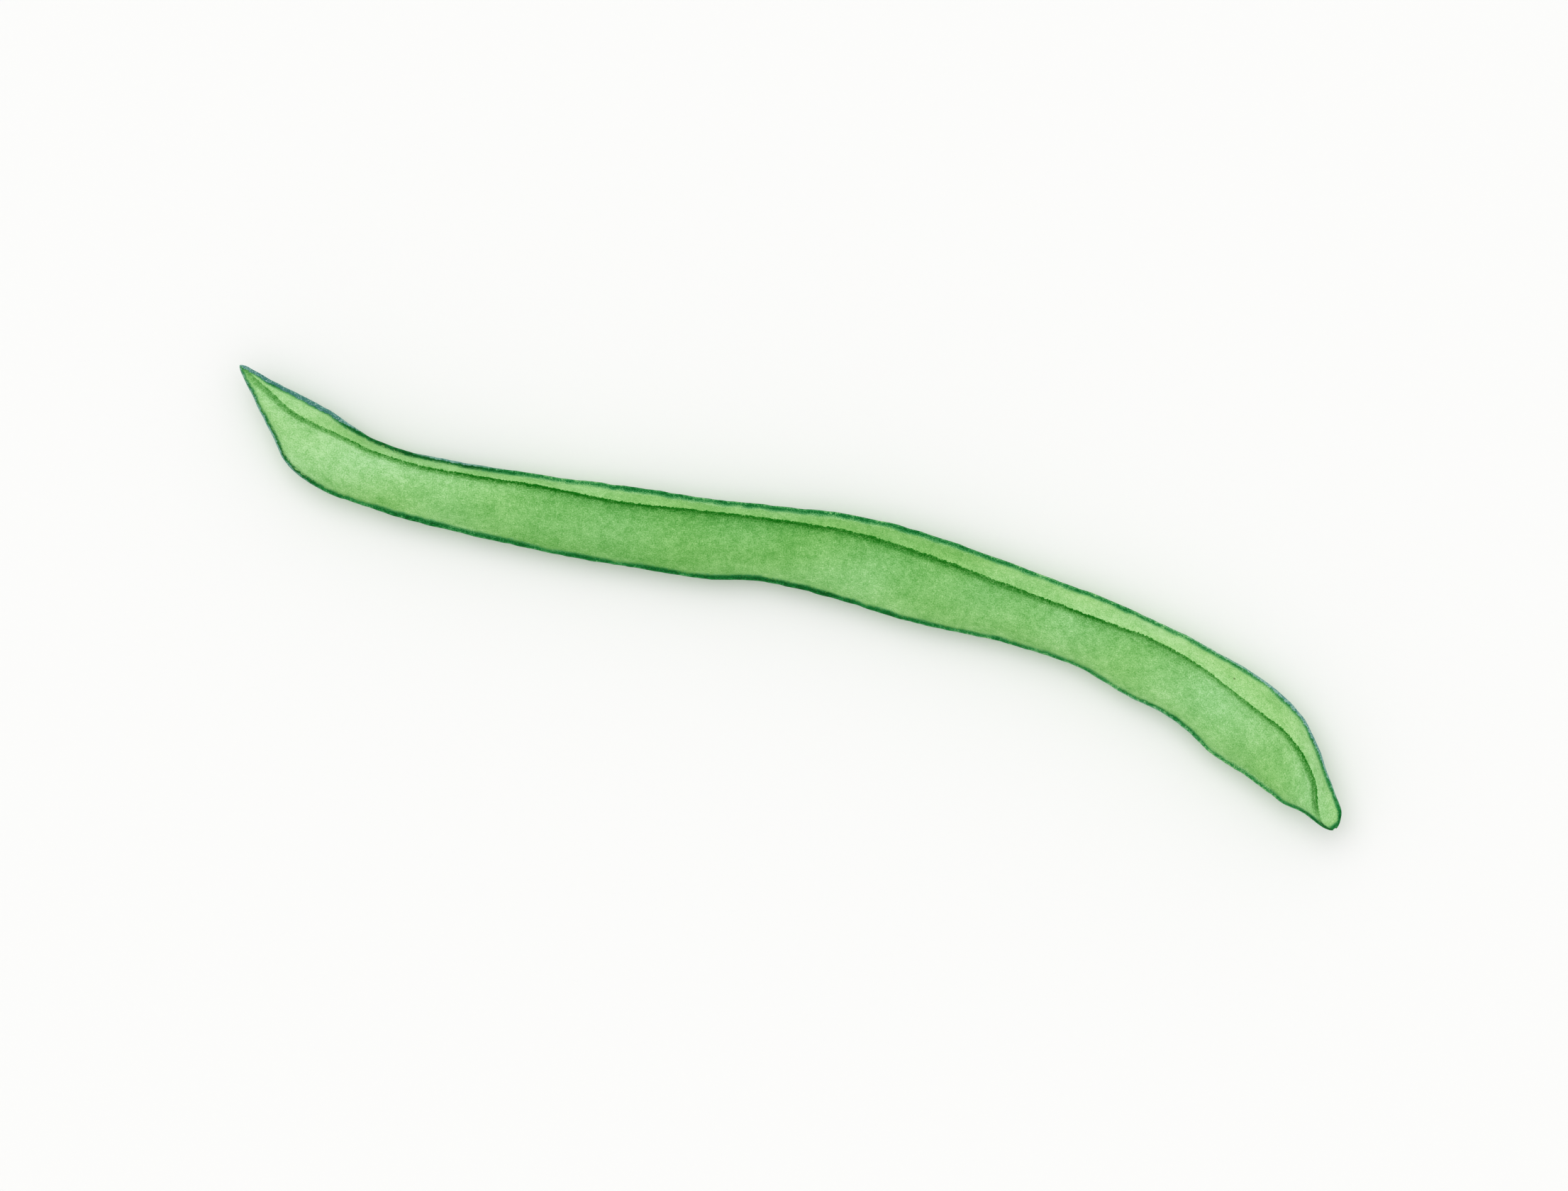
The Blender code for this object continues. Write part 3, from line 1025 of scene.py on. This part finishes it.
@dataclass
class BeanPod:
    """The whole pod in one skin: its beak, rim, broad sides, both strings and the picked neck."""

    spine: Spine = field(default_factory=Spine)
    outline: Outline = field(default_factory=Outline)
    seeds: SeedRow = field(default_factory=SeedRow)
    section: CrossSection = field(default_factory=CrossSection)
    lie: Lie = field(default_factory=Lie)
    greens: PodGreens = field(default_factory=PodGreens)
    finish: FreshPodSkin = field(default_factory=FreshPodSkin)
    beak_rounding: float = 1.4 * MM
    neck_rounding: float = 2.3 * MM
    beak_rings: int = 14
    neck_rings: int = 14
    ring_pitch: float = 0.355 * MM
    scar_share: float = 0.20  # width of the picking scar, as a share of the neck's
    scar_depth: float = 0.26 * MM
    scar_rings: int = 8
    scar_middle: float = 0.06  # size of its last ring, as a share of its first
    tip_reach: float = 0.2  # how far the beak's point goes on, in steps of its first two rings
    stretches: int = 3  # lengths that the flat layout is cut into
    margin: float = 0.012  # bare edge of that layout
    # How uneven the skin is: rough distance between swells and their height.
    swells: tuple[tuple[float, float], ...] = (
        (11.0 * MM, 0.090 * MM),
        (3.4 * MM, 0.040 * MM),
        (1.1 * MM, 0.012 * MM),
    )

    def places(self) -> tuple[np.ndarray, np.ndarray, np.ndarray]:
        """Where the rings are.

        Returns:
            Their distances from the beak, the share of the full width that each has, and how far
            into the picking scar each is, from 0 at its edge to 1 in its middle.
        """
        length = self.spine.length
        turn = steps_to(math.pi / 2, self.beak_rings)
        beak = self.beak_rounding * (1.0 - np.cos(turn))
        last = math.asin(self.scar_share)
        back = np.linspace(math.pi / 2, last, self.neck_rings)
        neck = length - self.neck_rounding * (1.0 - np.cos(back))
        count = int((neck[0] - beak[-1]) / self.ring_pitch)
        between = np.linspace(beak[-1], neck[0], count)[1:-1]
        inward = np.linspace(1.0, self.scar_middle, self.scar_rings + 1)[1:]
        scar = neck[-1] - self.scar_depth * (1.0 - inward**2)
        along = np.r_[beak, between, neck, scar]
        share = np.r_[np.sin(turn), np.ones_like(between), np.sin(back), self.scar_share * inward]
        inside = np.r_[np.zeros(len(along) - len(scar)), 1.0 - inward]
        return along, share, inside

    def rings(self) -> Rings:
        """Shapes the pod over the floor.

        Returns:
            Its rings in place, from the beak to the neck.
        """
        along, share, scar = self.places()
        turn = self.lie.twist(along, self.spine.length)
        ventral, crease, dorsal, thick = self.outline.read(along, share, turn)
        width, rim = ventral - dorsal, ventral - crease
        size = np.minimum(1.0, width / self.outline.full_width)
        swell = self.seeds.swell_at(along) * size
        out, up = self.section.side(width, rim, thick, swell, size)
        out = np.hstack([out, out[:, -2:0:-1]])
        up = np.hstack([up, -up[:, -2:0:-1]])
        turn = turn[:, None]
        across = ventral[:, None] - out
        across, up = (
            across * np.cos(turn) - up * np.sin(turn),
            across * np.sin(turn) + up * np.cos(turn),
        )
        level = self.lie.level(along, -up.min(axis=1), thick, self.spine.length)
        point, side = self.spine.at(along)
        plan = point[:, None, :] + across[:, :, None] * side[:, None, :]
        points = np.concatenate([plan, (level[:, None] + up)[:, :, None]], axis=2)
        return Rings(points, out, self.round_the_ring(points), along, width, rim, scar)

    def round_the_ring(self, points: np.ndarray) -> np.ndarray:
        """How far round its ring each point is from the ventral seam.

        Args:
            points: The rings' points.

        Returns:
            The distances, negative on the lower side.
        """
        steps = np.linalg.norm(np.diff(points, axis=1, append=points[:, :1]), axis=2)
        ahead = np.cumsum(steps, axis=1) - steps
        half = points.shape[1] // 2 + 1
        behind = ahead - steps.sum(axis=1)[:, None]
        return np.hstack([ahead[:, :half], behind[:, half:]])

    def settle(self, points: np.ndarray) -> np.ndarray:
        """Moves the pod into the CAD pod's box, pressed flat where it stands on the floor.

        Args:
            points: The skin's points, which are themselves moved.

        Returns:
            The same points.
        """
        low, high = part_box("bean_pod")
        points[:, 2] -= points[:, 2].min() + self.lie.flat - low.z
        points[:, 2] = np.maximum(points[:, 2], low.z)
        middle = (np.array(low) + np.array(high))[:2] / 2
        points[:, :2] += middle - (points[:, :2].min(axis=0) + points[:, :2].max(axis=0)) / 2
        return points

    def faces(self, rings: int, around: int) -> list[tuple[int, ...]]:
        """The faces of the skin, closed at both ends.

        Args:
            rings: How many rings there are.
            around: How many points each ring has.

        Returns:
            The numbers of each face's points.
        """
        beak, neck, last = rings * around, rings * around + 1, (rings - 1) * around
        found = []
        for here in range(0, last, around):
            for j in range(around):
                k = (j + 1) % around
                found.append((here + j, here + k, here + around + k, here + around + j))
        for j in range(around):
            k = (j + 1) % around
            found.append((beak, k, j))
            found.append((neck, last + j, last + k))
        return found

    def roughen(self, mesh: bpy.types.Mesh) -> None:
        """Makes the skin slightly uneven, by moving its points in and out.

        Args:
            mesh: The skin's mesh.
        """
        count = len(mesh.vertices)
        points = np.empty(count * 3)
        normals = np.empty(count * 3)
        mesh.vertices.foreach_get("co", points)
        mesh.vertex_normals.foreach_get("vector", normals)
        points, normals = points.reshape(-1, 3), normals.reshape(-1, 3)
        moved = sum(
            height * uneven(points, pitch, Draw.SKIN + k)
            for k, (pitch, height) in enumerate(self.swells)
        )
        points = self.settle(points + normals * moved[:, None])
        mesh.vertices.foreach_set("co", points.ravel())

    def measure(self, mesh: bpy.types.Mesh, rings: Rings) -> None:
        """Writes the measures that the skin's nodes read onto the mesh.

        Args:
            mesh: The skin's mesh.
            rings: The rings that it was made from.
        """
        along = rings.along[:, None] / MM
        out, width, rim = rings.out / MM, rings.width[:, None] / MM, rings.rim[:, None] / MM
        surfaces = through(self.greens.surfaces, along[:, 0]).T[:, :, None]
        crease, ventral, dorsal = (v[:, :, None] for v in self.greens.lines(along[:, 0]))
        line, wash, band, band_width = crease
        by_back = out > width / 2
        measures = {
            Measure.PLACE: (along, rings.around / MM, np.zeros_like(along)),
            Measure.EDGES: (out, out - rim, width - out),
            Measure.GREENS: self.greens.spread(surfaces, (out - rim) / (width - rim)),
            # the crease's painted shade
            Measure.CREASE_SHADE: (line, wash, band),
            Measure.STRING: tuple(np.where(by_back, d, v) for v, d in zip(ventral, dorsal)),
            Measure.ENDS: (self.spine.length / MM - along, rings.scar[:, None], band_width),
        }
        around = out.shape[1]
        for name, parts in measures.items():
            values = np.stack([np.broadcast_to(part, out.shape) for part in parts], axis=2)
            values = values.reshape(-1, 3)
            ends = (values[:around].mean(axis=0), values[-around:].mean(axis=0))
            held = mesh.attributes.new(name.value, "FLOAT_VECTOR", "POINT")
            held.data.foreach_set("vector", np.vstack([values, *ends]).ravel())

    def lay_out(self, mesh: bpy.types.Mesh, rings: Rings) -> None:
        """Gives the mesh a flat layout for baking, in strips of one stretch of one side each.

        Args:
            mesh: The skin's mesh.
            rings: The rings that it was made from.
        """
        count, around = rings.out.shape
        half = around // 2
        steps = np.linalg.norm(np.diff(rings.points, axis=0), axis=2).mean(axis=1)
        reach = np.r_[0.0, np.cumsum(steps)]
        cuts = np.searchsorted(reach, reach[-1] * np.arange(self.stretches + 1) / self.stretches)
        cuts[-1] = count - 1
        strips = 2 * self.stretches
        gap = strips / 2 * self.margin
        share = np.abs(rings.around)
        share = share / share[:, half : half + 1]
        layer = mesh.uv_layers.new(name="OFBake")
        flat = np.zeros((len(mesh.loops), 2))
        at = 0
        for face in mesh.polygons:
            where = [mesh.loops[k].vertex_index for k in face.loop_indices]
            ring = [min(v // around, count - 1) for v in where]
            column = [v % around for v in where]
            lower = max(column) > half or max(column) == around - 1
            stretch = int(np.searchsorted(cuts, min(ring), side="right")) - 1
            stretch = min(stretch, self.stretches - 1)
            start, end = reach[cuts[stretch]], reach[cuts[stretch + 1]]
            strip = 2 * stretch + int(lower)
            for k, (v, i, j) in enumerate(zip(where, ring, column)):
                across = share[i, j]
                if v >= count * around:
                    across = share[ring[k - 1], column[k - 1]]
                u = (reach[i] - start) / (end - start)
                flat[at + k] = (
                    self.margin + (1.0 - 2.0 * self.margin) * u,
                    (strip + gap + (1.0 - 2.0 * gap) * across) / strips,
                )
            at += len(where)
        layer.uv.foreach_set("vector", flat.ravel())

    def build(self) -> bpy.types.Object:
        """Makes the pod, dressed, in place of the CAD pod.

        Returns:
            The pod.
        """
        rings = self.rings()
        count, around = rings.out.shape
        points = rings.points.reshape(-1, 3)
        first, second, last = (rings.points[k].mean(axis=0) for k in (0, 1, -1))
        tip = (1.0 + self.tip_reach) * first - self.tip_reach * second
        mesh = bpy.data.meshes.new("pod_in_its_skin")
        mesh.from_pydata(np.vstack([points, tip, last]).tolist(), [], self.faces(count, around))
        mesh.update()
        mesh.shade_smooth()
        self.roughen(mesh)
        self.measure(mesh, rings)
        self.lay_out(mesh, rings)
        mesh.materials.append(self.finish.material())
        pod = bpy.data.objects.new("pod_in_its_skin", mesh)
        bpy.context.scene.collection.objects.link(pod)
        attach(pod, "root")
        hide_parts("bean_pod")
        return pod


@dataclass
class Studio:
    """The pale floor that turns up into a low backdrop, soft light from all round, and a camera."""

    flat_radius: float = 1.2
    radius: float = 3.2
    rise: float = 0.7
    spokes: int = 96
    floor_rings: int = 28
    paint: PaleFloorPaint = field(default_factory=PaleFloorPaint)
    sky_strength: float = 0.87
    key_strength: float = 0.75
    key_softness: float = math.radians(60.0)
    key_height: float = math.radians(62.0)
    key_heading: Triple = (-0.86, 0.51, 0.0)
    slope: float = math.radians(22.74)  # how far the pod's length runs down to the right
    looking_down: float = math.radians(89.0)
    lens: float = 150.0
    sensor: float = 36.0
    near_clip: float = 0.01
    far_clip: float = 20.0
    view_width: float = 229.8 * MM
    aim_left: float = 0.72 * MM  # the view's middle from the middle of the pod's chord
    chord_below: float = 2.63 * MM  # the chord's middle from the middle of the pod's box

    def floor(self) -> bpy.types.Object:
        """Makes the floor.

        Returns:
            The floor.
        """
        reach = steps_to(1.0, self.floor_rings)
        turn = np.linspace(0.0, 2 * math.pi, self.spokes, endpoint=False)
        points = [(0.0, 0.0, 0.0)]
        for out in reach * self.radius:
            up = max(0.0, (out - self.flat_radius) / (self.radius - self.flat_radius)) ** 2
            points += [(out * math.cos(a), out * math.sin(a), self.rise * up) for a in turn]
        faces = [(0, 1 + j, 1 + (j + 1) % self.spokes) for j in range(self.spokes)]
        for i in range(self.floor_rings - 1):
            here, there = 1 + i * self.spokes, 1 + (i + 1) * self.spokes
            for j in range(self.spokes):
                k = (j + 1) % self.spokes
                faces.append((here + j, there + j, there + k, here + k))
        mesh = bpy.data.meshes.new("studio_floor")
        mesh.from_pydata(points, [], faces)
        mesh.shade_smooth()
        mesh.materials.append(self.paint.material())
        floor = bpy.data.objects.new("studio_floor", mesh)
        bpy.context.scene.collection.objects.link(floor)
        return floor

    def lights(self) -> bpy.types.Object:
        """Makes the soft light from all round and the soft key light.

        Returns:
            The key light.
        """
        scene = bpy.context.scene
        scene.world = bpy.data.worlds.new("studio_air")
        scene.world.use_nodes = True
        air = scene.world.node_tree.nodes["Background"]
        air.inputs["Color"].default_value = (1.0, 1.0, 1.0, 1.0)
        air.inputs["Strength"].default_value = self.sky_strength
        lamp = bpy.data.lights.new("soft_key", "SUN")
        lamp.energy = self.key_strength
        lamp.angle = self.key_softness
        key = bpy.data.objects.new("soft_key", lamp)
        level = Vector(self.key_heading).normalized() * math.cos(self.key_height)
        towards = level + Vector((0.0, 0.0, math.sin(self.key_height)))
        key.rotation_euler = towards.to_track_quat("Z", "Y").to_euler()
        scene.collection.objects.link(key)
        return key

    def camera(self) -> bpy.types.Object:
        """Makes the camera, looking nearly straight down with the pod's length running across.

        Returns:
            The camera.
        """
        low, high = CAD_BOX
        right = Vector((math.cos(self.slope), math.sin(self.slope), 0.0))
        ahead = Vector((-math.sin(self.slope), math.cos(self.slope), 0.0))
        up = ahead * math.sin(self.looking_down) + Vector((0.0, 0.0, math.cos(self.looking_down)))
        back = right.cross(up)
        middle = (low + high) / 2
        aim = middle - Vector((0.0, self.chord_below, 0.0)) - right * self.aim_left
        lens = bpy.data.cameras.new("camera")
        lens.lens = self.lens
        lens.sensor_width = self.sensor
        lens.clip_start = self.near_clip
        lens.clip_end = self.far_clip
        camera = bpy.data.objects.new("camera", lens)
        turned = Matrix((right, up, back)).transposed().to_4x4()
        away = self.view_width * self.lens / self.sensor
        camera.matrix_world = Matrix.Translation(aim + back * away) @ turned
        bpy.context.scene.collection.objects.link(camera)
        bpy.context.scene.camera = camera
        return camera


def main() -> None:
    """Builds the pod and the studio round it."""
    logging.basicConfig(level=logging.INFO, format="%(message)s")
    bpy.context.scene.view_settings.view_transform = "Standard"
    studio = Studio()
    log.info("camera: %s", studio.camera().name)
    pod = BeanPod().build()
    log.info("%s: %d points, %d faces", pod.name, len(pod.data.vertices), len(pod.data.polygons))
    log.info("floor: %s", studio.floor().name)
    log.info("light: %s", studio.lights().name)


if __name__ == "__main__":
    main()
